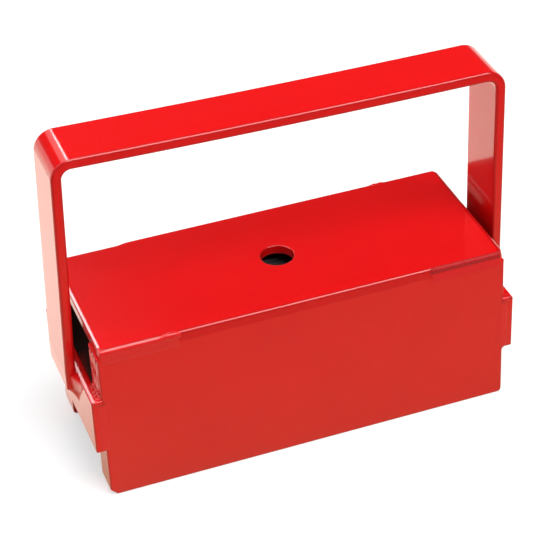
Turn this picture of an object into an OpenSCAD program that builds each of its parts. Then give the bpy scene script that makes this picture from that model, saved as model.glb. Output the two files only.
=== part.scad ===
// Handle magnet: two steel pole plates on edge, held apart by ferrite blocks, under a welded top plate,
// with a bar across each end and a bent strap handle welded to the two bars.
// Millimetres. X runs along the plates, Y from the front plate to the rear one, Z up from the working face.

/* [Magnet blocks] */
// Length of one block, along X
magnet_l = 47.6; // [30:0.1:55]
// Height of one block
magnet_h = 22; // [20:0.1:34]
// Thickness of one block, along its magnetised direction
magnet_t = 7.9; // [7:0.1:14]
// Chamfer on a block's long edges
magnet_chamfer = 0.6; // [0.2:0.1:2]
// How far the blocks stand up from the working face
magnet_recess = 2; // [0.5:0.1:4]
// Air gap between the upper blocks and the top plate
head_gap = 4; // [2.5:0.1:20]

/* [Pole plates] */
// Length of both plates
plate_l = 127; // [115:1:220]
// Thickness of both plates
plate_t = 9.5; // [5:0.5:14]
// Radius of the plates' lower corners
plate_corner_r = 1.3; // [0.5:0.1:4]
// Size of the snipped lower left corner of the front plate
plate_snip = 2; // [0.5:0.1:5]

/* [Top plate] */
// Thickness of the top plate
top_t = 3; // [2.8:0.1:8]
// How far the top plate's left end stands in from the ends of the pole plates
top_left_inset = 0.7; // [0:0.1:4]
// How far its right end stands in
top_right_inset = 0; // [0:0.1:4]
// Radius of the top plate's corners
top_corner_r = 2; // [0.5:0.1:6]
// Diameter of the hole in the middle
hole_d = 10; // [5:0.1:30]

/* [End bars] */
// Thickness of each end bar
bar_t = 3; // [2:0.1:6]
// Height of each end bar
bar_h = 18.5; // [14:0.1:26]
// Height of the bars' lower edge above the working face
bar_z = 17.2; // [8:0.1:20]
// Radius of the bars' upper outer edges
bar_top_r = 1.2; // [0.2:0.1:1.4]
// Radius of the bars' lower outer edges
bar_low_r = 0.4; // [0.2:0.1:0.9]

/* [Handle] */
// Width of the strap
strap_w = 19; // [12:0.1:26]
// Thickness of the strap
strap_t = 3.2; // [2:0.1:5]
// Height of the handle's left shoulder, its highest place, above the working face
handle_h = 107.4; // [80:0.1:180]
// How much lower its right shoulder stands
handle_drop = 1.8; // [0:0.1:4]
// Inside radius of the two bends
bend_r = 3; // [2:0.5:15]
// How far each leg laps down over its end bar
foot_lap = 6; // [3:0.5:9]
// How far the top of the left leg leans in from its foot
left_lean = 2.4; // [0:0.1:4]

/* [Welds] */
// Length of each stitch weld along the top plate
stitch_l = 22; // [8:1:45]
// Half width of a stitch weld's groove
stitch_w = 2.4; // [1:0.1:2.6]
// How far a ground weld stands out of the face that it joins
weld_crown = 0.25; // [0.1:0.05:0.6]
// Half width of the groove weld between an end bar and a pole plate
seam_w = 1.4; // [0.6:0.1:1.8]
// How far a foot weld reaches past the strap's two edges
foot_weld_side = 6.5; // [2:0.5:12]
// Radius of the rounded edges of a foot weld
foot_weld_r = 1.2; // [0.5:0.1:1.8]

/* [Hidden] */
LAYERS = 4;
ROWS = 2;
gap = LAYERS * magnet_t;
plate_h = magnet_recess + ROWS * magnet_h + head_gap;
body_d = gap + 2 * plate_t;
end_x = plate_l / 2;
bar_x = end_x + bar_t;
foot_x = bar_x + strap_t;
bar_top = bar_z + bar_h;
foot_z = bar_top - foot_lap;
top_left = -end_x + top_left_inset;
top_right = end_x - top_right_inset;
stitch_left = top_left + top_corner_r;
stitch_right = top_right - top_corner_r - stitch_l;
ARC = 48;
ROUND = 24;
BEND_STEP = 9;
STEEL = [0.86, 0.11, 0.10];
WELD = [0.80, 0.13, 0.12];
FERRITE = [0.16, 0.16, 0.17];

// A strap's side view: a run of points with a bend at each inner one, offset to one side.
function unit(v) = v / norm(v);
function left_of(d) = [-d[1], d[0]];
function turned(v, a) = [v[0] * cos(a) - v[1] * sin(a), v[0] * sin(a) + v[1] * cos(a)];
function turn_of(a, b) = atan2(a[0] * b[1] - a[1] * b[0], a * b);
function arc_points(c, v, t, steps) = [for (k = [0 : steps]) c + turned(v, t * k / steps)];
function bend_points(p, a, b, r, off) =
    let (t = turn_of(a, b), s = t < 0 ? 1 : -1)
    t == 0 ? [p + left_of(a) * off] :
    arc_points(p + unit(b - a) * r / cos(t / 2), left_of(a) * (s * r + off), t, ceil(abs(t) / BEND_STEP));
function edge_points(p, radii, off) =
    let (n = len(p) - 1, d = [for (i = [0 : n - 1]) unit(p[i + 1] - p[i])])
    concat([p[0] + left_of(d[0]) * off],
        [for (i = [1 : n - 1]) each bend_points(p[i], d[i - 1], d[i], radii[i], off)],
        [p[n] + left_of(d[n - 1]) * off]);
function reversed(list) = [for (i = [len(list) - 1 : -1 : 0]) list[i]];

// A flat shape drawn in X and Z, given a thickness along Y from y0.
module along_y(y0, thickness)
    translate([0, y0 + thickness, 0]) rotate([90, 0, 0]) linear_extrude(thickness) children();

// A flat shape drawn in Y and Z, given a length along X from x0.
module along_x(x0, length)
    translate([x0, 0, 0]) rotate([90, 0, 90]) linear_extrude(length) children();

// A rectangle with its low corner at the origin and a radius on each of its four corners.
module round_rect(size, r) {
    translate([r, 0]) square([size[0] - 2 * r, size[1]]);
    translate([0, r]) square([size[0], size[1] - 2 * r]);
    for (x = [r, size[0] - r], y = [r, size[1] - r]) translate([x, y]) circle(r, $fn = ARC);
}

// The groove of one stitch weld, in Y and Z, at the seam under the top plate.
module stitch_section(side, crown) {
    face = side * body_d / 2;
    polygon([[face - side * stitch_w, plate_h], [face, plate_h + stitch_w],
        [face + side * crown, plate_h + stitch_w / 2], [face + side * crown, plate_h - stitch_w / 2],
        [face, plate_h - stitch_w]]);
}

module stitch_weld(end, side)
    color(WELD) along_x(end < 0 ? stitch_left : stitch_right, stitch_l) stitch_section(side, weld_crown);

// The four grooves together, to be cut from what the stitches join.
module stitch_grooves()
    for (end = [-1, 1], side = [-1, 1])
        along_x(end < 0 ? stitch_left : stitch_right, stitch_l) stitch_section(side, weld_crown);

// The groove between an end bar and a pole plate, seen from above.
module seam_section(end, side) {
    face = side * body_d / 2;
    x = end * end_x;
    polygon([[x, face - side * seam_w], [x + seam_w, face], [x + seam_w / 2, face + side * weld_crown],
        [x - seam_w / 2, face + side * weld_crown], [x - seam_w, face]]);
}

module seam_weld(end, side)
    translate([0, 0, bar_z]) linear_extrude(bar_h) seam_section(end, side);

module seam_grooves()
    for (end = [-1, 1], side = [-1, 1]) seam_weld(end, side);

// A hollow fillet in the corner between a plate's end and an end bar; up is 1 above the bar and -1 below it.
module bar_fillet(end, side, up) {
    z = up > 0 ? bar_top : bar_z;
    leg = bar_t - (up > 0 ? bar_top_r : bar_low_r);
    y = side * (body_d / 2 - plate_t / 2);
    along_y(y - plate_t / 2 + seam_w, plate_t - 2 * seam_w) difference() {
        translate([end > 0 ? end_x : -end_x - leg, up > 0 ? z : z - leg]) square(leg);
        translate([end * (end_x + leg), z + up * leg]) circle(leg, $fn = ARC);
    }
}

// The left bar is filleted above and the right one below, as the welder left them.
module bar_weld(end, side)
    color(WELD) {
        seam_weld(end, side);
        bar_fillet(end, side, end < 0 ? 1 : -1);
    }

module plate_outline(snip) {
    difference() {
        translate([-end_x, 0]) union() {
            round_rect([plate_l, plate_h], plate_corner_r);
            translate([0, plate_h / 2]) square([plate_l, plate_h / 2]);
        }
        translate([-end_x, 0]) polygon([[-1, -1], [snip, -1], [snip, 0], [0, snip], [-1, snip]]);
    }
}

module pole_plate(side, snip)
    color(STEEL) difference() {
        along_y(side < 0 ? -body_d / 2 : body_d / 2 - plate_t, plate_t) plate_outline(snip);
        stitch_grooves();
        seam_grooves();
    }

module front_pole_plate() pole_plate(-1, plate_snip);

module rear_pole_plate() pole_plate(1, plate_corner_r / 2);

module top_plate()
    color(STEEL) difference() {
        translate([top_left, -body_d / 2, plate_h]) linear_extrude(top_t)
            round_rect([top_right - top_left, body_d], top_corner_r);
        translate([0, 0, plate_h - 1]) cylinder(d = hole_d, h = top_t + 2, $fn = 64);
        stitch_grooves();
    }

// A bar across one end, its outer edges rounded, its inner face flat on the ends of the pole plates.
module end_bar(end)
    color(STEEL) difference() {
        along_y(-body_d / 2, body_d) mirror([end < 0 ? 1 : 0, 0]) union() {
            translate([end_x, bar_z]) square([bar_t - bar_top_r, bar_h]);
            translate([end_x, bar_z + bar_low_r]) square([bar_t, bar_h - bar_low_r - bar_top_r]);
            translate([end_x, bar_z]) square([bar_t - bar_low_r, bar_h / 2]);
            translate([bar_x - bar_top_r, bar_top - bar_top_r]) circle(bar_top_r, $fn = ARC);
            translate([bar_x - bar_low_r, bar_z + bar_low_r]) circle(bar_low_r, $fn = ARC);
        }
        seam_grooves();
    }

module handle() {
    mid_x = foot_x - strap_t / 2;
    top_z = handle_h - strap_t / 2;
    centre = [[-mid_x, foot_z], [-mid_x, bar_top], [-mid_x + left_lean, top_z], [mid_x, top_z - handle_drop],
        [mid_x, foot_z]];
    radii = [0, 2 * bend_r + strap_t, bend_r + strap_t / 2, bend_r + strap_t / 2, 0];
    color(STEEL) along_y(-strap_w / 2, strap_w)
        polygon(concat(edge_points(centre, radii, strap_t / 2), reversed(edge_points(centre, radii, -strap_t / 2))));
}

// The puddle of weld round one foot: beside both edges of the strap and down to the bar's lower edge.
module foot_weld(end) {
    r = foot_weld_r;
    wide = strap_w / 2 + foot_weld_side - r;
    narrow = strap_w / 2 - r;
    high = bar_top - bar_top_r - r;
    low = bar_z + bar_low_r + r;
    out = strap_t - r - 0.2;
    color(WELD) mirror([end < 0 ? 1 : 0, 0, 0]) translate([bar_x, 0, 0]) difference() {
        hull() {
            for (y = [-wide, wide]) translate([0, y, high]) sphere(r, $fn = ROUND);
            for (y = [-narrow - r, narrow + r]) translate([out, y, high]) sphere(r, $fn = ROUND);
            for (y = [-narrow, narrow]) translate([out, y, foot_z - r]) sphere(r, $fn = ROUND);
            for (y = [-narrow, narrow]) translate([0, y, low]) sphere(r, $fn = ROUND);
        }
        translate([-bar_t, -body_d, 0]) cube([bar_t, 2 * body_d, handle_h]);
        translate([0, -strap_w / 2, foot_z]) cube([2 * strap_t, strap_w, handle_h]);
    }
}

// One block; column is -1 or 1, row and layer count up from the working face and from the front plate.
module magnet(column, row, layer) {
    c = magnet_chamfer;
    y0 = -gap / 2 + (layer - 1) * magnet_t;
    z0 = magnet_recess + row * magnet_h;
    color(FERRITE) along_x(column < 0 ? -magnet_l : 0, magnet_l) translate([y0, z0])
        polygon([[c, 0], [magnet_t - c, 0], [magnet_t, c], [magnet_t, magnet_h - c], [magnet_t - c, magnet_h],
            [c, magnet_h], [0, magnet_h - c], [0, c]]);
}

front_pole_plate();
rear_pole_plate();
top_plate();
end_bar(-1);  // left_end_bar
end_bar(1);  // right_end_bar
handle();
foot_weld(-1);  // left_foot_weld
foot_weld(1);  // right_foot_weld
stitch_weld(-1, -1);  // top_weld_front_left
stitch_weld(1, -1);  // top_weld_front_right
stitch_weld(-1, 1);  // top_weld_rear_left
stitch_weld(1, 1);  // top_weld_rear_right
bar_weld(-1, -1);  // bar_weld_front_left
bar_weld(1, -1);  // bar_weld_front_right
bar_weld(-1, 1);  // bar_weld_rear_left
bar_weld(1, 1);  // bar_weld_rear_right
magnet(-1, 0, 1);  // magnet_left_lower_1
magnet(-1, 0, 2);  // magnet_left_lower_2
magnet(-1, 0, 3);  // magnet_left_lower_3
magnet(-1, 0, 4);  // magnet_left_lower_4
magnet(-1, 1, 1);  // magnet_left_upper_1
magnet(-1, 1, 2);  // magnet_left_upper_2
magnet(-1, 1, 3);  // magnet_left_upper_3
magnet(-1, 1, 4);  // magnet_left_upper_4
magnet(1, 0, 1);  // magnet_right_lower_1
magnet(1, 0, 2);  // magnet_right_lower_2
magnet(1, 0, 3);  // magnet_right_lower_3
magnet(1, 0, 4);  // magnet_right_lower_4
magnet(1, 1, 1);  // magnet_right_upper_1
magnet(1, 1, 2);  // magnet_right_upper_2
magnet(1, 1, 3);  // magnet_right_upper_3
magnet(1, 1, 4);  // magnet_right_upper_4
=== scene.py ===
"""Lifting magnet with a bent strap handle: red enamel over a welded steel case full of ferrite blocks."""

import math

import bmesh
import bpy
from mathutils import Matrix, Vector, noise


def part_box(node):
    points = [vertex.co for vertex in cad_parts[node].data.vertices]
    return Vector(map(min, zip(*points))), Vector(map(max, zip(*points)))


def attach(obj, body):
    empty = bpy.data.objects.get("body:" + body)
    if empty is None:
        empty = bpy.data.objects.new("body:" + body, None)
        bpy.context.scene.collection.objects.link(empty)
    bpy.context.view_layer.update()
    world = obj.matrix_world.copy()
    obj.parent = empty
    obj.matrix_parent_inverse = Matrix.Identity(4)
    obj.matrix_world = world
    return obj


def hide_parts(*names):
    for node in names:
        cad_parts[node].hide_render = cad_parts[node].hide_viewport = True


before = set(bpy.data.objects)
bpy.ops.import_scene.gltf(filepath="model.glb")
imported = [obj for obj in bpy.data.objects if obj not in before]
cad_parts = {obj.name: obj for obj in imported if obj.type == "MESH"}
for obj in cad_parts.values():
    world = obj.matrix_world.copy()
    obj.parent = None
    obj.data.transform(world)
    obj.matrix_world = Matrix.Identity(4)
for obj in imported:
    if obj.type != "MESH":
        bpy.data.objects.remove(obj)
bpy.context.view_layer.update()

# Pole plates: two lengths of hot rolled flat bar standing on edge, 9.5 mm thick, sawn to length.
# Their edges are dressed round, save those under the top plate, and red enamel is sprayed over the whole.
# The front one has a snipped corner and an end out of square. Their lower edges, the working face, are bare.
MM = 0.001
PLATE_EDGE = 0.5 * MM
PLATE_TOP_EDGE = 0.05 * MM
PLATE_CORNER = 1.3 * MM
SNIP = 2.0 * MM
OUT_OF_SQUARE = 0.45 * MM
FACING = 0.98


def rounded_outline(corners, steps=5, spacing=None):
    """Points and outward normals round a convex outline, and which of its stretches are corner arcs."""
    points = []
    arcs = {}
    count = len(corners)
    for i, (across, up, radius) in enumerate(corners):
        corner = Vector((across, up))
        back = (Vector(corners[i - 1][:2]) - corner).normalized()
        ahead = (Vector(corners[(i + 1) % count][:2]) - corner).normalized()
        half = back.angle(ahead) / 2
        centre = corner + (back + ahead).normalized() * radius / math.sin(half)
        start = Vector((-back.y, back.x))
        for k in range(steps + 1):
            normal = Matrix.Rotation((math.pi - 2 * half) * k / steps, 2) @ start
            if k < steps:
                arcs[len(points)] = 1.0
            points.append((centre + normal * radius, normal))
        if spacing:
            following = corners[(i + 1) % count]
            reach = (Vector(following[:2]) - points[-1][0]).length - following[2]
            pieces = max(1, round(reach / spacing))
            last, side = points[-1]
            for k in range(1, pieces):
                points.append((last + ahead * reach * k / pieces, side))
    return points, arcs


def skin(name, rings, looped=False, edge_rows={}, edge_columns={}):
    """A closed skin over rings of points; its rounded edges are marked for painted shade."""
    bm = bmesh.new()
    shade_mark = bm.faces.layers.float.new("edge")
    rows = [[bm.verts.new(point) for point in ring] for ring in rings]
    count = len(rows)
    for k in range(count if looped else count - 1):
        low = rows[k]
        high = rows[(k + 1) % count]
        for i in range(len(low)):
            j = (i + 1) % len(low)
            face = bm.faces.new((low[i], low[j], high[j], high[i]))
            face[shade_mark] = max(edge_rows.get(k, 0.0), edge_columns.get(i, 0.0))
    if not looped:
        bm.faces.new(rows[0])
        bm.faces.new(rows[-1])
    bmesh.ops.recalc_face_normals(bm, faces=bm.faces)
    for face in bm.faces:
        face.smooth = True
    mesh = bpy.data.meshes.new(name)
    bm.to_mesh(mesh)
    bm.free()
    piece = bpy.data.objects.new(name, mesh)
    bpy.context.scene.collection.objects.link(piece)
    return piece


def bake(piece):
    """Turns what the modifiers make of a piece into its plain mesh."""
    depsgraph = bpy.context.evaluated_depsgraph_get()
    finished = piece.evaluated_get(depsgraph)
    mesh = bpy.data.meshes.new_from_object(finished, preserve_all_data_layers=True, depsgraph=depsgraph)
    piece.modifiers.clear()
    piece.data = mesh
    mesh.name = piece.name


def dress(piece, node, material):
    """Gives a rolled or sheared piece its flat faces and finish, and lets it stand for its solid."""
    piece.modifiers.new("flats stay flat", "WEIGHTED_NORMAL")
    bake(piece)
    piece.data.materials.append(material)
    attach(piece, "root")
    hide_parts(node)


def ground_face(piece):
    """Bares the steel on a plate's lower edge, where the magnet grips and its paint wears off."""
    piece.data.materials.append(BARE_STEEL)
    for face in piece.data.polygons:
        if face.normal.z < -FACING:
            face.material_index = 1


def rounded_steps(radius, steps=4):
    """How far in and how deep each step of a rounded edge lies, from the face to the side."""
    turns = [math.pi / 2 * k / steps for k in range(steps + 1)]
    return [(radius * (1 - math.sin(turn)), radius * (1 - math.cos(turn))) for turn in turns]


def bar_on_edge(name, outline, arcs, y_low, y_high, radius, upper=1.0):
    """Flat stock whose outline lies in X and Z, its edges rounded; upper=0 leaves the upper ones sharp."""
    steps = rounded_steps(radius)
    levels = [(inset, y_low + depth) for inset, depth in steps]
    levels += [(inset, y_high - depth) for inset, depth in reversed(steps)]
    rings = []
    for inset, y in levels:
        ring = []
        for p, n in outline:
            share = upper if n.y > 0 else 1.0
            ring.append((p.x - n.x * inset, y, p.y - n.y * inset * share))
        rings.append(ring)
    count = len(steps) - 1
    rounded = {row: 1.0 for row in range(2 * count + 1) if row != count}
    return skin(name, rings, edge_rows=rounded, edge_columns=arcs)


def socket(tree, name, way, kind, value=None):
    """One named socket of a node group."""
    item = tree.interface.new_socket(name, in_out=way, socket_type=kind)
    if value is not None:
        item.default_value = value
    return item


def enamel_film():
    """How a sprayed film of enamel varies: pools, thinner places and orange peel, with painted shade on its
    rounded edges.
    """
    tree = bpy.data.node_groups.new("enamel film", "ShaderNodeTree")
    socket(tree, "Place", "INPUT", "NodeSocketVector")
    socket(tree, "Enamel", "INPUT", "NodeSocketColor", (0.84, 0.004, 0.005, 1))
    socket(tree, "Thin And Shaded Enamel", "INPUT", "NodeSocketColor", (0.42, 0.003, 0.004, 1))
    socket(tree, "Edge", "INPUT", "NodeSocketFloat", 0.0)
    socket(tree, "Edge Shade Strength", "INPUT", "NodeSocketFloat", 0.5)
    socket(tree, "Peel Size", "INPUT", "NodeSocketFloat", 900.0)
    socket(tree, "Peel Depth", "INPUT", "NodeSocketFloat", 0.00001)
    socket(tree, "Roughness", "INPUT", "NodeSocketFloat", 0.3)
    socket(tree, "Color", "OUTPUT", "NodeSocketColor")
    socket(tree, "Roughness", "OUTPUT", "NodeSocketFloat")
    socket(tree, "Normal", "OUTPUT", "NodeSocketVector")
    nodes = tree.nodes
    links = tree.links
    given = nodes.new("NodeGroupInput")
    made = nodes.new("NodeGroupOutput")

    pools = nodes.new("ShaderNodeTexNoise")
    pools.inputs["Scale"].default_value = 45
    pools.inputs["Detail"].default_value = 3
    links.new(given.outputs["Place"], pools.inputs["Vector"])
    pooled = nodes.new("ShaderNodeMapRange")
    pooled.inputs["From Min"].default_value = 0.3
    pooled.inputs["From Max"].default_value = 0.75
    pooled.inputs["To Min"].default_value = 0.0
    pooled.inputs["To Max"].default_value = 0.10
    links.new(pools.outputs["Fac"], pooled.inputs["Value"])

    # Painted shade: faces marked in the edge attribute are darkened toward the shaded colour.
    edge_shade = nodes.new("ShaderNodeMath")
    edge_shade.operation = "MULTIPLY"
    links.new(given.outputs["Edge"], edge_shade.inputs[0])
    links.new(given.outputs["Edge Shade Strength"], edge_shade.inputs[1])
    thin_and_edge_shade = nodes.new("ShaderNodeMath")
    thin_and_edge_shade.operation = "ADD"
    thin_and_edge_shade.use_clamp = True
    links.new(pooled.outputs["Result"], thin_and_edge_shade.inputs[0])
    links.new(edge_shade.outputs["Value"], thin_and_edge_shade.inputs[1])
    tint = nodes.new("ShaderNodeMix")
    tint.data_type = "RGBA"
    links.new(thin_and_edge_shade.outputs["Value"], tint.inputs["Factor"])
    links.new(given.outputs["Enamel"], tint.inputs["A"])
    links.new(given.outputs["Thin And Shaded Enamel"], tint.inputs["B"])
    links.new(tint.outputs["Result"], made.inputs["Color"])

    haze = nodes.new("ShaderNodeTexNoise")
    haze.inputs["Scale"].default_value = 160
    haze.inputs["Detail"].default_value = 4
    links.new(given.outputs["Place"], haze.inputs["Vector"])
    spread = nodes.new("ShaderNodeMapRange")
    spread.inputs["To Min"].default_value = 0.8
    spread.inputs["To Max"].default_value = 1.2
    links.new(haze.outputs["Fac"], spread.inputs["Value"])
    rough = nodes.new("ShaderNodeMath")
    rough.operation = "MULTIPLY"
    links.new(spread.outputs["Result"], rough.inputs[0])
    links.new(given.outputs["Roughness"], rough.inputs[1])
    links.new(rough.outputs["Value"], made.inputs["Roughness"])

    peel = nodes.new("ShaderNodeTexNoise")
    peel.inputs["Detail"].default_value = 2
    links.new(given.outputs["Place"], peel.inputs["Vector"])
    links.new(given.outputs["Peel Size"], peel.inputs["Scale"])
    skin_bump = nodes.new("ShaderNodeBump")
    skin_bump.inputs["Strength"].default_value = 1.0
    links.new(peel.outputs["Fac"], skin_bump.inputs["Height"])
    links.new(given.outputs["Peel Depth"], skin_bump.inputs["Distance"])
    rolled = nodes.new("ShaderNodeBump")
    rolled.inputs["Strength"].default_value = 1.0
    rolled.inputs["Distance"].default_value = 0.0001
    links.new(pools.outputs["Fac"], rolled.inputs["Height"])
    links.new(skin_bump.outputs["Normal"], rolled.inputs["Normal"])
    links.new(rolled.outputs["Normal"], made.inputs["Normal"])
    return tree


def enamel_material(name, settings):
    """Glossy enamel: coloured film under its own clear top."""
    material = bpy.data.materials.new(name)
    material.use_nodes = True
    tree = material.node_tree
    surface = tree.nodes["Principled BSDF"]
    place = tree.nodes.new("ShaderNodeTexCoord")
    # The edge attribute marks the rounded edges that painted shade darkens.
    edge = tree.nodes.new("ShaderNodeAttribute")
    edge.attribute_name = "edge"
    film = tree.nodes.new("ShaderNodeGroup")
    film.node_tree = ENAMEL_FILM
    for key, value in settings.items():
        film.inputs[key].default_value = value
    tree.links.new(place.outputs["Object"], film.inputs["Place"])
    tree.links.new(edge.outputs["Fac"], film.inputs["Edge"])
    tree.links.new(film.outputs["Color"], surface.inputs["Base Color"])
    tree.links.new(film.outputs["Roughness"], surface.inputs["Roughness"])
    tree.links.new(film.outputs["Normal"], surface.inputs["Normal"])
    surface.inputs["IOR"].default_value = 1.4
    surface.inputs["Coat Weight"].default_value = 1.0
    surface.inputs["Coat IOR"].default_value = 1.4
    surface.inputs["Coat Roughness"].default_value = 0.06
    return material


def recess_shade_material(open_x=0.063, shade_x=0.057, open_z=0.012, shade_z=0.024):
    """Dull enamel with painted shade between the plates, darker inwards from their ends and up from their
    foot.
    """
    material = enamel_material("recess shade enamel", {"Roughness": 0.6})
    tree = material.node_tree
    surface = tree.nodes["Principled BSDF"]
    surface.inputs["Coat Weight"].default_value = 0.0
    full = surface.inputs["Base Color"].links[0].from_socket
    place = tree.nodes.new("ShaderNodeTexCoord")
    split = tree.nodes.new("ShaderNodeSeparateXYZ")
    across = tree.nodes.new("ShaderNodeMath")
    across.operation = "ABSOLUTE"
    deep = tree.nodes.new("ShaderNodeMapRange")
    deep.inputs["From Min"].default_value = open_x
    deep.inputs["From Max"].default_value = shade_x
    raised = tree.nodes.new("ShaderNodeMapRange")
    raised.inputs["From Min"].default_value = open_z
    raised.inputs["From Max"].default_value = shade_z
    shade_depth = tree.nodes.new("ShaderNodeMath")
    shade_depth.operation = "MAXIMUM"
    film = tree.nodes.new("ShaderNodeMix")
    film.data_type = "RGBA"
    film.inputs["B"].default_value = (0.03, 0.003, 0.003, 1)
    tree.links.new(place.outputs["Object"], split.inputs["Vector"])
    tree.links.new(split.outputs["X"], across.inputs[0])
    tree.links.new(across.outputs["Value"], deep.inputs["Value"])
    tree.links.new(split.outputs["Z"], raised.inputs["Value"])
    tree.links.new(deep.outputs["Result"], shade_depth.inputs[0])
    tree.links.new(raised.outputs["Result"], shade_depth.inputs[1])
    tree.links.new(shade_depth.outputs["Value"], film.inputs["Factor"])
    tree.links.new(full, film.inputs["A"])
    tree.links.new(film.outputs["Result"], surface.inputs["Base Color"])
    return material


def inner_faces(piece, towards):
    """Gives the faces that look into the gap the dull enamel with painted shade."""
    piece.data.materials.append(RECESS_SHADE)
    inside = len(piece.data.materials) - 1
    for face in piece.data.polygons:
        if face.normal.dot(Vector(towards)) > FACING:
            face.material_index = inside


def steel_material():
    """Ground steel: fine scratches along the grinding, and grey patches where it has dulled."""
    material = bpy.data.materials.new("ground steel")
    material.use_nodes = True
    tree = material.node_tree
    surface = tree.nodes["Principled BSDF"]
    place = tree.nodes.new("ShaderNodeTexCoord")
    turn = tree.nodes.new("ShaderNodeMapping")
    turn.inputs["Scale"].default_value = (60, 4000, 4000)
    scratches = tree.nodes.new("ShaderNodeTexNoise")
    scratches.inputs["Scale"].default_value = 1
    scratches.inputs["Detail"].default_value = 5
    patches = tree.nodes.new("ShaderNodeTexNoise")
    patches.inputs["Scale"].default_value = 70
    grey = tree.nodes.new("ShaderNodeValToRGB")
    grey.color_ramp.elements[0].position = 0.35
    grey.color_ramp.elements[0].color = (0.24, 0.23, 0.22, 1)
    grey.color_ramp.elements[1].position = 0.65
    grey.color_ramp.elements[1].color = (0.52, 0.51, 0.49, 1)
    dull = tree.nodes.new("ShaderNodeMapRange")
    dull.inputs["To Min"].default_value = 0.25
    dull.inputs["To Max"].default_value = 0.5
    grooves = tree.nodes.new("ShaderNodeBump")
    grooves.inputs["Distance"].default_value = 0.00002
    grooves.inputs["Strength"].default_value = 0.5
    tree.links.new(place.outputs["Object"], turn.inputs["Vector"])
    tree.links.new(turn.outputs["Vector"], scratches.inputs["Vector"])
    tree.links.new(place.outputs["Object"], patches.inputs["Vector"])
    tree.links.new(patches.outputs["Fac"], grey.inputs["Fac"])
    tree.links.new(grey.outputs["Color"], surface.inputs["Base Color"])
    tree.links.new(scratches.outputs["Fac"], dull.inputs["Value"])
    tree.links.new(dull.outputs["Result"], surface.inputs["Roughness"])
    tree.links.new(scratches.outputs["Fac"], grooves.inputs["Height"])
    tree.links.new(grooves.outputs["Normal"], surface.inputs["Normal"])
    surface.inputs["Metallic"].default_value = 1.0
    return material


ENAMEL_FILM = enamel_film()
BARE_STEEL = steel_material()
RED_ENAMEL = enamel_material("red enamel", {"Roughness": 0.22})
RECESS_SHADE = recess_shade_material()

low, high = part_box("front_pole_plate")
outline, arcs = rounded_outline([
    (low.x + SNIP, low.z, PLATE_EDGE), (high.x, low.z, PLATE_CORNER),
    (high.x - OUT_OF_SQUARE, high.z, PLATE_TOP_EDGE), (low.x, high.z, PLATE_TOP_EDGE),
    (low.x, low.z + SNIP, PLATE_EDGE)])
front_plate = bar_on_edge("front_plate", outline, arcs, low.y, high.y, PLATE_EDGE, upper=0.0)
dress(front_plate, "front_pole_plate", RED_ENAMEL)
ground_face(front_plate)
# Painted shade on the faces inside the gap.
inner_faces(front_plate, (0, 1, 0))

low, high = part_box("rear_pole_plate")
outline, arcs = rounded_outline([
    (low.x, low.z, PLATE_CORNER), (high.x, low.z, PLATE_CORNER), (high.x, high.z, PLATE_TOP_EDGE),
    (low.x, high.z, PLATE_TOP_EDGE)])
rear_plate = bar_on_edge("rear_plate", outline, arcs, low.y, high.y, PLATE_EDGE, upper=0.0)
dress(rear_plate, "rear_pole_plate", RED_ENAMEL)
ground_face(rear_plate)
# Painted shade on the faces inside the gap.
inner_faces(rear_plate, (0, -1, 0))

# Ferrite blocks: sixteen bars of sintered hard ferrite, charcoal grey, glued between the pole plates.
# They are pressed and fired, so their faces are dull and finely pitted and their corners chip.
ferrite = bpy.data.materials.new("sintered ferrite")
ferrite.use_nodes = True
tree = ferrite.node_tree
place = tree.nodes.new("ShaderNodeTexCoord")
grain = tree.nodes.new("ShaderNodeTexNoise")
grain.inputs["Scale"].default_value = 1400
grain.inputs["Detail"].default_value = 6
cloud = tree.nodes.new("ShaderNodeTexNoise")
cloud.inputs["Scale"].default_value = 90
grey = tree.nodes.new("ShaderNodeValToRGB")
grey.color_ramp.elements[0].position = 0.3
grey.color_ramp.elements[0].color = (0.028, 0.028, 0.031, 1)
grey.color_ramp.elements[1].position = 0.7
grey.color_ramp.elements[1].color = (0.062, 0.061, 0.064, 1)
both = tree.nodes.new("ShaderNodeMath")
both.operation = "MULTIPLY_ADD"
both.inputs[1].default_value = 0.5
pits = tree.nodes.new("ShaderNodeBump")
pits.inputs["Distance"].default_value = 0.00005
pits.inputs["Strength"].default_value = 0.6
surface = tree.nodes["Principled BSDF"]
surface.inputs["Roughness"].default_value = 0.55
tree.links.new(place.outputs["Object"], grain.inputs["Vector"])
tree.links.new(place.outputs["Object"], cloud.inputs["Vector"])
half = tree.nodes.new("ShaderNodeMath")
half.operation = "MULTIPLY"
half.inputs[1].default_value = 0.5
tree.links.new(cloud.outputs["Fac"], half.inputs[0])
tree.links.new(grain.outputs["Fac"], both.inputs[0])
tree.links.new(half.outputs["Value"], both.inputs[2])
tree.links.new(both.outputs["Value"], grey.inputs["Fac"])
tree.links.new(grey.outputs["Color"], surface.inputs["Base Color"])
tree.links.new(grain.outputs["Fac"], pits.inputs["Height"])
tree.links.new(pits.outputs["Normal"], surface.inputs["Normal"])
for name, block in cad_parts.items():
    if name.startswith("magnet_"):
        for holder in block.material_slots:
            holder.material = ferrite

# Top plate: 3 mm flat bar laid on both pole plates, its corners and its upper edges ground round.
# The left edge has a narrow slope instead, and the rear edge was ground in over the left stitch weld.
# A 10 mm hole is drilled through the middle and the burr taken off.
TOP_EDGE = 0.85 * MM
RIM_STEPS = 6
RIGHT_ROUNDER = 0.8
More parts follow.
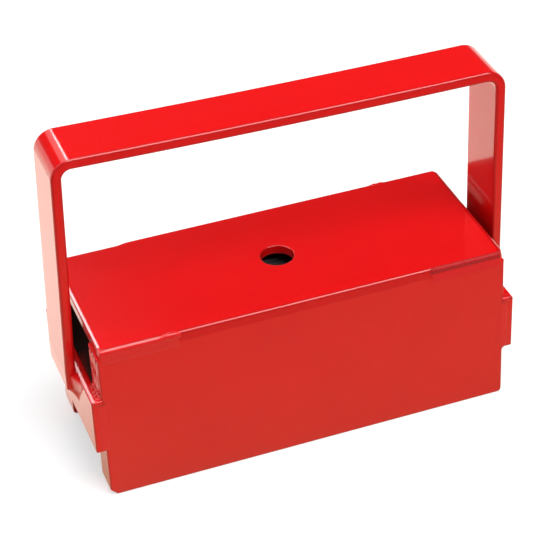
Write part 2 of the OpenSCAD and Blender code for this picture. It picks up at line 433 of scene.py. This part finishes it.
# Inset and depth of each ring of the left edge, in millimetres
LEFT_EDGE = [(0.95, 0.0), (0.90, 0.004), (0.22, 0.076), (0.12, 0.10), (0.04, 0.20), (0.0, 0.35), (0.0, 0.5)]
GROUND_IN = 0.65
TOP_LEAN = 0.25 * MM
TOP_LOWER_EDGE = 0.03 * MM
TOP_CORNER = 2.2 * MM
FRONT_RIGHT_CORNER = 1.4 * TOP_CORNER
HOLE = 5.0 * MM
HOLE_EDGE = 0.4 * MM
# The top plate's side face gets half of the painted edge shade.
SIDE_SHADE = 0.5
# Rows of faces between the rings, counted from the hole's lower edge
HOLE_WALL, UPPER_FACE, SIDE, UNDERSIDE = 4, 9, 16, 21

low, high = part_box("top_plate")
outline, arcs = rounded_outline([
    (low.x, low.y, TOP_CORNER), (high.x, low.y, FRONT_RIGHT_CORNER), (high.x, high.y, TOP_CORNER),
    (low.x, high.y, TOP_CORNER)], steps=8, spacing=3 * MM)
start = math.atan2(outline[0][0].y, outline[0][0].x)
around = [start + math.tau * i / len(outline) for i in range(len(outline))]


def hole_ring(radius, z):
    """One ring of the hole, with a point for each point of the rim."""
    return [(radius * math.cos(turn), radius * math.sin(turn), z) for turn in around]


def smooth(value, start, stop):
    """0 before start and 1 after stop, with a soft turn at both; start may be the larger."""
    t = min(1.0, max(0.0, (value - start) / (stop - start)))
    return t * t * (3 - 2 * t)


def ground_in(x, y, z):
    """How far, in millimetres, the rear edge was ground in over the left stitch weld."""
    return GROUND_IN * smooth(x, -39.5, -42.0) * smooth(y, 15.0, 20.0) * smooth(z, 50.1, 52.2)


def rim_ring(inset, depth, left_inset, left_depth):
    """The plate's rim at one depth. The left end has its own edge, and the right end a larger round."""
    ring = []
    for p, n in outline:
        left = max(0.0, -n.x) ** 4
        far = (inset + (left_inset - inset) * left) * (1 + RIGHT_ROUNDER * max(0.0, n.x))
        z = high.z - depth - (left_depth - depth) * left
        y = p.y - n.y * far
        ring.append((p.x - n.x * far, y - ground_in(p.x / MM, y / MM, z / MM) * MM, z))
    return ring


rings = []
for inset, depth in rounded_steps(HOLE_EDGE):
    rings.append(hole_ring(HOLE + inset, low.z + depth))
for inset, depth in reversed(rounded_steps(HOLE_EDGE)):
    rings.append(hole_ring(HOLE + inset, high.z - depth))
for (inset, depth), (left_inset, left_depth) in zip(rounded_steps(TOP_EDGE, RIM_STEPS), LEFT_EDGE):
    rings.append(rim_ring(inset + TOP_LEAN, depth, left_inset * MM, left_depth * MM))
for inset, rise in reversed(rounded_steps(TOP_LOWER_EDGE)):
    depth = high.z - low.z - rise
    rings.append(rim_ring(inset, depth, inset, depth))
rounded = {row: 1.0 for row in range(UNDERSIDE) if row not in (HOLE_WALL, UPPER_FACE)}
rounded[SIDE] = SIDE_SHADE
dress(skin("top_sheet", rings, looped=True, edge_rows=rounded), "top_plate", RED_ENAMEL)

# End bars: 3 mm flat bar across both ends at half height, welded to the pole plates' ends.
# They hold the plates apart and carry the handle. Their edges are rounded, and the upper outer one is sloped.
# Distance in, distance down and radius of each turn of the slope, in millimetres
BAR_SLOPE = [(0.0, 0.5, 0.3), (0.35, 0.1, 0.15), (1.15, 0.0, 0.1)]
BAR_LOW_EDGE = 0.5 * MM
BAR_EDGE = 0.45 * MM
for node in ("left_end_bar", "right_end_bar"):
    low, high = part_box(node)
    if node == "left_end_bar":
        corners = [(low.x, low.z, BAR_LOW_EDGE), (high.x, low.z, BAR_EDGE), (high.x, high.z, BAR_EDGE),
                   *[(low.x + x * MM, high.z - z * MM, radius * MM) for x, z, radius in reversed(BAR_SLOPE)]]
    else:
        corners = [(low.x, low.z, BAR_EDGE), (high.x, low.z, BAR_LOW_EDGE),
                   *[(high.x - x * MM, high.z - z * MM, radius * MM) for x, z, radius in BAR_SLOPE],
                   (low.x, high.z, BAR_EDGE)]
    outline, arcs = rounded_outline(corners)
    bar = bar_on_edge(node.replace("end_bar", "bar"), outline, arcs, low.y, high.y, BAR_EDGE)
    dress(bar, node, RED_ENAMEL)

# Handle: one strap of flat bar, 19 by 3.2 mm, bent cold to a U and welded outside the end bars.
# The left leg was bent a little too far, so it leans in above its bar. The grip drops to the right and sags.
STRAP_T = 3.2 * MM
BEND = 4.6 * MM
FOOT_BEND = 9.2 * MM
LEAN = 2.4 * MM
DROP = 1.8 * MM
SAG = 0.5 * MM
GRIP_STEPS = 24
BEND_STEP = math.radians(5)
STRAP_EDGE = 0.75 * MM
FOOT_EDGE = 0.6 * MM
FOOT_STEPS = 4
low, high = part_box("handle")
bar_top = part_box("left_end_bar")[1].z
side_x = high.x - STRAP_T / 2
top_z = high.z - STRAP_T / 2
corners = [(-side_x, low.z), (-side_x, bar_top), (-side_x + LEAN, top_z), (side_x, top_z - DROP),
           (side_x, low.z)]
bends = [0, FOOT_BEND, BEND, BEND, 0]


def bent_line(corners, bends):
    """Places and outward directions along the middle of a strap that is bent at each inner corner."""
    line = []
    for i, corner in enumerate(corners):
        here = Vector(corner)
        before = here - Vector(corners[i - 1]) if i else Vector(corners[1]) - here
        after = Vector(corners[i + 1]) - here if i < len(corners) - 1 else before
        before.normalize()
        after.normalize()
        start = Vector((-before.y, before.x))
        turn = math.atan2(before.cross(after), before.dot(after))
        if bends[i] == 0:
            line.append((here, start))
            continue
        middle = here - (start + Vector((-after.y, after.x))).normalized() * bends[i] / math.cos(turn / 2)
        steps = max(2, round(abs(turn) / BEND_STEP))
        for k in range(steps + 1):
            outward = Matrix.Rotation(turn * k / steps, 2) @ start
            line.append((middle + outward * bends[i], outward))
    return line


section, arcs = rounded_outline([
    (low.y, -STRAP_T / 2, STRAP_EDGE), (high.y, -STRAP_T / 2, STRAP_EDGE), (high.y, STRAP_T / 2, STRAP_EDGE),
    (low.y, STRAP_T / 2, STRAP_EDGE)])


def strap_ring(place, outward, inset=0.0):
    """The strap's section, square to its run at one place."""
    ring = []
    for p, n in section:
        q = p - n * inset
        centre = place + outward * q.y
        ring.append((centre.x, q.x, centre.y))
    return ring


line = bent_line(corners, bends)
spans = [(line[k + 1][0] - line[k][0]).length for k in range(len(line) - 1)]
longest = spans.index(max(spans))
first, outward = line[longest]
last = line[longest + 1][0]
grip = []
for k in range(1, GRIP_STEPS):
    along = k / GRIP_STEPS
    grip.append((first.lerp(last, along) - outward * SAG * 4 * along * (1 - along), outward))
line[longest + 1:longest + 1] = grip
rings = []
for inset, depth in rounded_steps(FOOT_EDGE, FOOT_STEPS):
    rings.append(strap_ring(line[0][0] + Vector((0, depth)), line[0][1], inset))
for place, outward in line[1:-1]:
    rings.append(strap_ring(place, outward))
for inset, depth in reversed(rounded_steps(FOOT_EDGE, FOOT_STEPS)):
    rings.append(strap_ring(line[-1][0] + Vector((0, depth)), line[-1][1], inset))
last_row = len(rings) - 1
rounded = {row: 1.0 for row in range(FOOT_STEPS)}
rounded.update({row: 1.0 for row in range(last_row - FOOT_STEPS, last_row)})
handle = skin("strap", rings, edge_rows=rounded, edge_columns=arcs)
dress(handle, "handle", RED_ENAMEL)

# Foot welds: steel run in with a thick electrode, a gob beside each edge of the foot and a fillet under it.
# Each run froze in faint ripples. It was left as it was, and painted over. Weld sizes are in millimetres.
WELD_ENAMEL = enamel_material("red enamel on weld", {
    "Roughness": 0.32, "Edge Shade Strength": 0.55, "Peel Size": 700.0, "Peel Depth": 0.00003})


def in_mm(metres):
    """A size or place of the frame, in millimetres."""
    return round(metres / MM, 3)


foot_low, foot_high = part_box("handle")
bar_low, bar_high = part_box("right_end_bar")
FOOT_HALF = in_mm(foot_high.y)
FOOT_BOTTOM = in_mm(foot_low.z)
BAR_X = in_mm(bar_low.x)
BAR_FACE = in_mm(bar_high.x)
BAR_LOW = in_mm(bar_low.z)
BAR_HIGH = in_mm(bar_high.z)
BAR_SHOULDER = BAR_HIGH - 0.7
CRUST_HALF = FOOT_HALF + 6.45
CRUST_LOW = BAR_LOW + 0.4
CRUST_TOP = BAR_HIGH - 0.2
GOB_REACH = 6.4
GOB_DEPTH = 1.9
FILLET_RISE = 5.7
FILLET_DEPTH = 2.7
FOOT_CROWN = 2.78
INSIDE = -0.15


def relief(bm, columns, rows, place, height, behind, shade_mark=None):
    """Adds a closed crust of weld, in millimetres: a grid lifted off the steel, with its back inside it."""
    layer = bm.faces.layers.float.get("edge") or bm.faces.layers.float.new("edge")
    front = []
    for i in range(columns + 1):
        line = []
        for j in range(rows + 1):
            point, normal = place(i / columns, j / rows)
            point = Vector(point)
            lift = height(point)
            line.append(bm.verts.new((point + Vector(normal) * lift) * MM))
        front.append(line)
    faces = []
    for i in range(columns):
        for j in range(rows):
            face = bm.faces.new((front[i][j], front[i + 1][j], front[i + 1][j + 1], front[i][j + 1]))
            # Each face takes its share of painted shade, where a marking function is given.
            face[layer] = shade_mark(face.calc_center_median() / MM) if shade_mark else 0.0
            faces.append(face)
    rim = [front[i][0] for i in range(columns)] + [front[columns][j] for j in range(rows)]
    rim += [front[i][rows] for i in range(columns, 0, -1)] + [front[0][j] for j in range(rows, 0, -1)]
    inner = [bm.verts.new(vertex.co + Vector(behind) * MM) for vertex in rim]
    for i in range(len(rim)):
        j = (i + 1) % len(rim)
        faces.append(bm.faces.new((rim[i], inner[i], inner[j], rim[j])))
    faces.append(bm.faces.new(inner))
    bmesh.ops.recalc_face_normals(bm, faces=faces)


def weld_piece(bm, name, node, material=None):
    """Makes the crusts of one weld into a piece that stands for its solid."""
    for face in bm.faces:
        face.smooth = True
    mesh = bpy.data.meshes.new(name)
    bm.to_mesh(mesh)
    bm.free()
    piece = bpy.data.objects.new(name, mesh)
    bpy.context.scene.collection.objects.link(piece)
    piece.data.materials.append(material or WELD_ENAMEL)
    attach(piece, "root")
    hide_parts(node)


def foot_height(point):
    """How far the weld stands off the bar: a gob beside the foot, up to the bar's top, and a fillet below."""
    y = abs(point.y)
    z = point.z
    grain = noise.noise(point * 0.5) * 0.16 + noise.noise(point * 1.3) * 0.08
    out = (y - FOOT_HALF + 0.2) / GOB_REACH
    low = FOOT_BOTTOM - 1.3 + 5.0 * max(0.0, out)
    beside = 0.0
    if out < 1:
        beside = GOB_DEPTH * (1 - max(0.0, out)) ** 1.3 * smooth(z, low - 1.2, low + 3.6)
    beside += 0.03 * math.sin(math.tau * (z + 0.5 * (y - FOOT_HALF)) / 1.6) * smooth(beside, 0.1, 0.8)
    climb = max(0.0, (z - FOOT_BOTTOM) / FILLET_RISE + 1)
    under = FILLET_DEPTH * climb ** 1.5 * smooth(y, FOOT_HALF + 0.4, FOOT_HALF - 0.8)
    under += 0.06 * math.sin(math.tau * (point.y + 0.6 * math.sin(0.8 * z)) / 2.1) * smooth(under, 0.2, 0.9)
    lift = max(beside, under) if z < FOOT_BOTTOM + 1 else beside
    lift += grain * smooth(lift, 0.1, 0.7)
    sides = smooth(y, CRUST_HALF, CRUST_HALF - 0.45)
    edge = min(sides, smooth(z, CRUST_LOW, CRUST_LOW + 0.5), smooth(z, CRUST_TOP, BAR_SHOULDER))
    lift = INSIDE + (lift - INSIDE) * edge
    steel = -0.9 * max(0.0, z - BAR_SHOULDER)
    return steel + min(FOOT_CROWN, lift + INSIDE * smooth(lift, 0.25, 0.0))


def foot_place(end):
    """Base points over the outer face of a bar."""

    def place(u, v):
        y = CRUST_HALF * (2 * u - 1)
        return (end * BAR_FACE, y, CRUST_LOW + (CRUST_TOP - CRUST_LOW) * v), (end, 0, 0)

    return place


for end, side_name in ((-1, "left"), (1, "right")):
    bm = bmesh.new()
    relief(bm, 96, 56, foot_place(end), foot_height, (-end * 0.8, 0, 0))
    weld_piece(bm, side_name + "_foot_bead", side_name + "_foot_weld")

# Stitch welds: a short run at each corner joins the top plate to a pole plate, ground flush with a disc.
# Two runs still end in a lump. The front right one has a torn upper edge, on which the enamel dried dull.
DULL_ENAMEL = enamel_material("dull enamel on ragged weld", {
    "Roughness": 0.6, "Edge Shade Strength": 0.8, "Peel Size": 1100.0, "Peel Depth": 0.00006})
DULL_ENAMEL.node_tree.nodes["Principled BSDF"].inputs["Coat Weight"].default_value = 0.15
TOP_ROUND = in_mm(TOP_EDGE)
FACE = in_mm(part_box("rear_pole_plate")[1].y)
TOP = in_mm(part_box("top_plate")[1].z)
STITCH_LOW = TOP - 5.3
STITCH_FLAT = 1.3
PIT_LINE = TOP - 3.3
CROWN = 0.24


def stitch_place(side, x_start, x_stop):
    """Base points up a plate's face and over the rounded upper edge of the top plate."""
    straight = TOP - TOP_ROUND - STITCH_LOW
    bend = TOP_ROUND * math.pi / 2

    def place(u, v):
        x = x_start + (x_stop - x_start) * u
        way = v * (straight + bend + STITCH_FLAT)
        if way < straight:
            y = FACE
            z = STITCH_LOW + way
            normal = (0, side, 0)
        elif way < straight + bend:
            turn = (way - straight) / TOP_ROUND
            normal = (0, side * math.cos(turn), math.sin(turn))
            y = FACE - TOP_ROUND + TOP_ROUND * math.cos(turn)
            z = TOP - TOP_ROUND + TOP_ROUND * math.sin(turn)
        else:
            y = FACE - TOP_ROUND - (way - straight - bend)
            z = TOP
            normal = (0, 0, 1)
        return (x, side * y - ground_in(x, side * y, z), z), normal

    return place


def stitch_height(x_corner, x_stop, lump, ragged):
    """Flush over the seam, with pits; where asked, with a lump at the run's end or a torn upper edge."""
    length = abs(x_stop - x_corner)

    def height(point):
        along = abs(point.x - x_corner)
        inward = FACE - abs(point.y)
        rise = point.z - STITCH_LOW
        ends = smooth(along, 0.0, 0.7) * smooth(along, length, length - 1.0)
        body = smooth(rise, 0.0, 0.9) * smooth(point.z, TOP - 0.3, TOP - 1.1) * ends
        grain = noise.noise(Vector((point.x * 0.9, point.y, point.z * 1.7)))
        lift = INSIDE + body * (0.05 - INSIDE + 0.035 * grain)
        pit = smooth(noise.noise(Vector((point.x * 0.55, 7.0, 3.0))), -0.05, 0.25)
        lift -= 0.03 * pit * body * math.exp(-((point.z - PIT_LINE) / 0.22) ** 2)
        if lump:
            near = math.exp(-((along - length + 3.3) / 2.3) ** 4)
            low_side = smooth(point.z, TOP - 2.6, TOP - 1.3)
            back = smooth(inward, 2.0, 0.7)
            swell = near * low_side * back * (0.8 + 0.5 * noise.noise(point * 1.1))
            lift = max(lift, INSIDE + swell * (CROWN - INSIDE))
            crater = math.hypot(along - length + 0.5, (point.z - TOP + 2.2) * 1.2)
            lift -= 0.2 * smooth(crater, 0.9, 0.3)
        if ragged:
            rag = noise.noise(Vector((point.x * 1.6, 1.0, 5.0)))
            rag += 0.5 * noise.noise(Vector((point.x * 4.1, 2.0, 5.0)))
            over = smooth(point.z, TOP - 1.6, TOP - 0.8) * smooth(inward, 1.25, 0.75) * ends
            lift = max(lift, INSIDE + over * (0.22 + 0.4 * rag - INSIDE))
        return min(CROWN, lift)

    return height


def torn_edge_shade(centre):
    """Painted shade: dark over a torn upper edge."""
    return smooth(centre.z, TOP - 2.1, TOP - 1.3) * smooth(FACE - abs(centre.y), 1.9, 1.2)


# Node, side, corner and end of the run along X, whether it ends in a lump, whether its edge is torn
STITCHES = [
    ("top_weld_front_left", -1, -62.7, -38.4, True, False),
    ("top_weld_front_right", -1, 61.9, 38.9, False, True),
    ("top_weld_rear_left", 1, -61.6, -38.8, False, False),
    ("top_weld_rear_right", 1, 61.9, 39.3, True, False)]
for node, side, x_corner, x_stop, lump, ragged in STITCHES:
    bm = bmesh.new()
    relief(bm, 84, 30, stitch_place(side, x_corner, x_stop), stitch_height(x_corner, x_stop, lump, ragged),
           (0, -side * 0.7, -0.5), torn_edge_shade if ragged else None)
    weld_piece(bm, node.replace("weld", "bead"), node, DULL_ENAMEL if ragged else WELD_ENAMEL)

# Bar welds: an upright run where each end bar meets a pole plate, ground flush on the outer face.
# The left ones were carried on above the bar, up the rough end of the plate, the right ones below it.
BAR_ROUND = 1.0
SEAM_OUT = 2.2
SEAM_WIDTH = 4.05
SEAM_START = 0.1
SEAM_FLAT = 1.6
FILLET_LEG = 1.5
FILLET_INSET = 0.35
FILLET_WIDTH = 8.7
TORN_INSET = 0.45
TORN_WIDTH = 8.6
TORN_LOW = BAR_HIGH + 1.2
TORN_HIGH = TOP - 3.7


def seam_place(end, side):
    """Base points up the outer face of the seam and back over the bar's upper edge."""
    straight = BAR_HIGH - BAR_ROUND - BAR_LOW - SEAM_START
    bend = BAR_ROUND * math.pi / 2

    def place(u, v):
        x = end * (BAR_X + SEAM_OUT - SEAM_WIDTH * u)
        way = v * (straight + bend + SEAM_FLAT)
        if way < straight:
            return (x, side * FACE, BAR_LOW + SEAM_START + way), (0, side, 0)
        if way < straight + bend:
            turn = (way - straight) / BAR_ROUND
            y = side * (FACE - BAR_ROUND + BAR_ROUND * math.cos(turn))
            z = BAR_HIGH - BAR_ROUND + BAR_ROUND * math.sin(turn)
            return (x, y, z), (0, side * math.cos(turn), math.sin(turn))
        return (x, side * (FACE - BAR_ROUND - (way - straight - bend)), BAR_HIGH), (0, 0, 1)

    return place


def seam_height(point):
    """A flush bead that ends in a rounded lump over the bar's upper edge."""
    across = abs(point.x) - BAR_X
    inward = FACE - abs(point.y)
    body = smooth(abs(across), 1.75, 0.8) * smooth(point.z, BAR_LOW + SEAM_START, BAR_LOW + 0.8)
    lift = INSIDE + body * (0.08 - INSIDE + 0.05 * noise.noise(point * 0.8))
    lump = smooth(abs(across - 0.5), 1.7, 0.9) * smooth(inward, 2.5, 1.2)
    lump *= smooth(point.z, BAR_HIGH - 2.0, BAR_HIGH - 0.8)
    tall = 0.13 + 0.16 * smooth(inward, 0.05, 0.3) * smooth(point.z, BAR_HIGH, BAR_HIGH - 0.4)
    return max(lift, INSIDE + lump * (tall + 0.06 * noise.noise(point * 1.2) - INSIDE))


def lump_shade(centre):
    """Painted shade round the lump, which makes its sides look darker."""
    across = abs(abs(centre.x) - BAR_X - 0.9)
    below = smooth(centre.z, BAR_HIGH - 0.7, BAR_HIGH - 1.2)
    return smooth(centre.z, BAR_HIGH - 2.1, BAR_HIGH - 1.1) * max(smooth(across, 0.6, 1.4), below)


def fillet_place(end, side, up):
    """Base points round the hollow between a bar and a plate's end, going from the bar to the plate."""
    corner_z = BAR_HIGH if up > 0 else BAR_LOW

    def place(u, v):
        y = side * (FACE - FILLET_INSET - FILLET_WIDTH * u)
        turn = math.pi / 2 * v
        x = BAR_X + FILLET_LEG - FILLET_LEG * math.sin(turn)
        z = corner_z + up * (FILLET_LEG - FILLET_LEG * math.cos(turn))
        return (end * x, y, z), (end * math.sin(turn), 0, up * math.cos(turn))

    return place


def fillet_height(point):
    """A rough rippled run that fades out at both ends."""
    inward = FACE - abs(point.y)
    ends = smooth(inward, FILLET_INSET, 1.1) * smooth(inward, 9.0, 8.4)
    ripple = 0.14 * math.sin(math.tau * inward / 1.5 + 3 * noise.noise(point * 0.4))
    return INSIDE + ends * (0.12 - INSIDE + ripple + 0.16 * noise.noise(point * 1.1))


def torn_place(end, side):
    """Base points up the sawn end of a pole plate above its bar."""

    def place(u, v):
        y = side * (FACE - TORN_INSET - TORN_WIDTH * u)
        return (end * BAR_X, y, TORN_LOW + (TORN_HIGH - TORN_LOW) * v), (end, 0, 0)

    return place


def torn_height(point):
    """Weld and torch marks down the plate's end: upright ridges, broken up and down."""
    inward = FACE - abs(point.y)
    across = smooth(inward, TORN_INSET, 1.0) * smooth(inward, 9.0, 8.4)
    edge = across * smooth(point.z, TORN_LOW, TORN_LOW + 0.8) * smooth(point.z, TORN_HIGH, TORN_HIGH - 1.2)
    ridge = noise.noise(Vector((inward * 1.1, point.z * 0.2, 4.0)))
    ridge += 0.5 * noise.noise(Vector((inward * 2.4, point.z * 0.5, 9.0)))
    return INSIDE + edge * (0.1 - INSIDE + 0.4 * ridge)


for node, end, side in (("bar_weld_front_left", -1, -1), ("bar_weld_front_right", 1, -1),
                        ("bar_weld_rear_left", -1, 1), ("bar_weld_rear_right", 1, 1)):
    up = -end
    bm = bmesh.new()
    relief(bm, 22, 88, seam_place(end, side), seam_height, (0, -side * 0.5, -0.3), lump_shade)
    relief(bm, 24, 14, fillet_place(end, side, up), fillet_height, (-end * 0.5, 0, -up * 0.5))
    if end < 0:
        relief(bm, 24, 44, torn_place(end, side), torn_height, (-end * 0.5, 0, 0))
    weld_piece(bm, node.replace("weld", "bead"), node)

# Floor: a plain pale sheet under the magnet. The camera sees it as white with the magnet's shadow.
# The gloss of the enamel sees it with painted warm light, and with painted shade that darkens it toward the
# front.
FLOOR_SIZE = 12.0
mesh = bpy.data.meshes.new("floor")
half = FLOOR_SIZE / 2
mesh.from_pydata([(-half, -half, 0), (half, -half, 0), (half, half, 0), (-half, half, 0)], [], [(0, 1, 2, 3)])
floor = bpy.data.objects.new("floor", mesh)
bpy.context.scene.collection.objects.link(floor)
paper = bpy.data.materials.new("pale paper")
paper.use_nodes = True
tree = paper.node_tree
tree.nodes.remove(tree.nodes["Principled BSDF"])
plain = tree.nodes.new("ShaderNodeBsdfDiffuse")
plain.inputs["Color"].default_value = (0.65, 0.65, 0.65, 1)
rays = tree.nodes.new("ShaderNodeLightPath")
place = tree.nodes.new("ShaderNodeTexCoord")
split = tree.nodes.new("ShaderNodeSeparateXYZ")
# Painted shade toward the front and painted warm light, seen in the gloss only.
fall = tree.nodes.new("ShaderNodeMapRange")
fall.inputs["From Min"].default_value = -0.18
fall.inputs["From Max"].default_value = 0.05
front_shade_ramp = tree.nodes.new("ShaderNodeValToRGB")
front_shade_ramp.color_ramp.elements[0].color = (0.08, 0.07, 0.05, 1)
front_shade_ramp.color_ramp.elements[1].position = 0.9
front_shade_ramp.color_ramp.elements[1].color = (1, 1, 1, 1)
middle = front_shade_ramp.color_ramp.elements.new(0.65)
middle.color = (0.50, 0.46, 0.31, 1)
warm_light_tint = tree.nodes.new("ShaderNodeMix")
warm_light_tint.data_type = "RGBA"
warm_light_tint.blend_type = "MULTIPLY"
warm_light_tint.inputs["Factor"].default_value = 1.0
warm_light_tint.inputs["B"].default_value = (1.14, 0.88, 0.76, 1)
view = tree.nodes.new("ShaderNodeMix")
view.data_type = "RGBA"
view.inputs["A"].default_value = (1, 1, 1, 1)
shade = tree.nodes.new("ShaderNodeMix")
shade.data_type = "RGBA"
shade.blend_type = "MULTIPLY"
shade.inputs["Factor"].default_value = 1.0
shade.inputs["B"].default_value = (0.58, 0.61, 0.61, 1)
shown = tree.nodes.new("ShaderNodeBsdfDiffuse")
glow = tree.nodes.new("ShaderNodeEmission")
glow.inputs["Strength"].default_value = 0.52
both = tree.nodes.new("ShaderNodeAddShader")
camera_or_gloss = tree.nodes.new("ShaderNodeMath")
camera_or_gloss.operation = "MAXIMUM"
seen = tree.nodes.new("ShaderNodeMath")
seen.operation = "MAXIMUM"
mix = tree.nodes.new("ShaderNodeMixShader")
tree.links.new(place.outputs["Object"], split.inputs["Vector"])
tree.links.new(split.outputs["Y"], fall.inputs["Value"])
tree.links.new(fall.outputs["Result"], front_shade_ramp.inputs["Fac"])
tree.links.new(front_shade_ramp.outputs["Color"], warm_light_tint.inputs["A"])
tree.links.new(rays.outputs["Is Glossy Ray"], view.inputs["Factor"])
tree.links.new(warm_light_tint.outputs["Result"], view.inputs["B"])
tree.links.new(view.outputs["Result"], shade.inputs["A"])
tree.links.new(shade.outputs["Result"], shown.inputs["Color"])
tree.links.new(view.outputs["Result"], glow.inputs["Color"])
tree.links.new(rays.outputs["Is Camera Ray"], camera_or_gloss.inputs[0])
tree.links.new(rays.outputs["Is Glossy Ray"], camera_or_gloss.inputs[1])
tree.links.new(camera_or_gloss.outputs["Value"], seen.inputs[0])
tree.links.new(rays.outputs["Is Transmission Ray"], seen.inputs[1])
tree.links.new(shown.outputs["BSDF"], both.inputs[0])
tree.links.new(glow.outputs["Emission"], both.inputs[1])
tree.links.new(seen.outputs["Value"], mix.inputs["Fac"])
tree.links.new(plain.outputs["BSDF"], mix.inputs[1])
tree.links.new(both.outputs["Shader"], mix.inputs[2])
tree.links.new(mix.outputs["Shader"], tree.nodes["Material Output"].inputs["Surface"])
mesh.materials.append(paper)

# Lamps: a large softbox over the front and two weaker ones overhead and at the left, in a dim room.
# A small one stands behind the magnet, and a narrow one beside it lights the rims of the edges.
LAMP_DISTANCE = 2.0


def softbox(name, direction, width, height, watts):
    """A soft lamp that looks at the middle of the magnet from one direction."""
    lamp = bpy.data.lights.new(name, "AREA")
    lamp.shape = "RECTANGLE"
    lamp.size = width
    lamp.size_y = height
    lamp.energy = watts
    holder = bpy.data.objects.new(name, lamp)
    aim = Vector(direction).normalized()
    holder.location = Vector((0, 0, 0.05)) + aim * LAMP_DISTANCE
    holder.rotation_euler = aim.to_track_quat("Z", "Y").to_euler()
    bpy.context.scene.collection.objects.link(holder)


softbox("back_softbox", (-0.120, 0.800, 0.588), 0.78, 0.45, 1.25)
softbox("overhead_softbox", (-0.15, 0.30, 0.94), 1.4, 1.2, 15)
softbox("rim_softbox", (0.0105, 0.795, 0.6065), 0.15, 0.26, 1.2)
softbox("front_softbox", (0.22, -0.39, 0.89), 1.5, 1.4, 39)
softbox("left_softbox", (-0.75, 0.15, 0.65), 1.4, 1.2, 7)

room = bpy.data.worlds.new("room")
bpy.context.scene.world = room
room.use_nodes = True
tree = room.node_tree
backdrop = tree.nodes["Background"]
way = tree.nodes.new("ShaderNodeTexCoord")
split = tree.nodes.new("ShaderNodeSeparateXYZ")
fade = tree.nodes.new("ShaderNodeMapRange")
fade.interpolation_type = "SMOOTHSTEP"
fade.inputs["From Min"].default_value = 0.05
fade.inputs["From Max"].default_value = 0.16
fade.inputs["To Min"].default_value = 1.0
fade.inputs["To Max"].default_value = 0.05
tree.links.new(way.outputs["Generated"], split.inputs["Vector"])
tree.links.new(split.outputs["Z"], fade.inputs["Value"])
tree.links.new(fade.outputs["Result"], backdrop.inputs["Strength"])
backdrop.inputs["Color"].default_value = (1, 1, 1, 1)

# Camera: a long lens, as the photograph was taken, slightly cropped to one side.
eye = bpy.data.cameras.new("camera")
eye.lens = 133.471
eye.sensor_width = 36
eye.shift_x = -0.0556
eye.shift_y = -0.0278
eye.clip_start = 0.02
eye.clip_end = 50
camera = bpy.data.objects.new("camera", eye)
camera.location = (-0.160107, -0.465308, 0.393659)
camera.rotation_euler = (math.radians(55.2685), math.radians(1.6483), math.radians(-20.9347))
bpy.context.scene.collection.objects.link(camera)
bpy.context.scene.camera = camera
bpy.context.scene.view_settings.view_transform = "Standard"
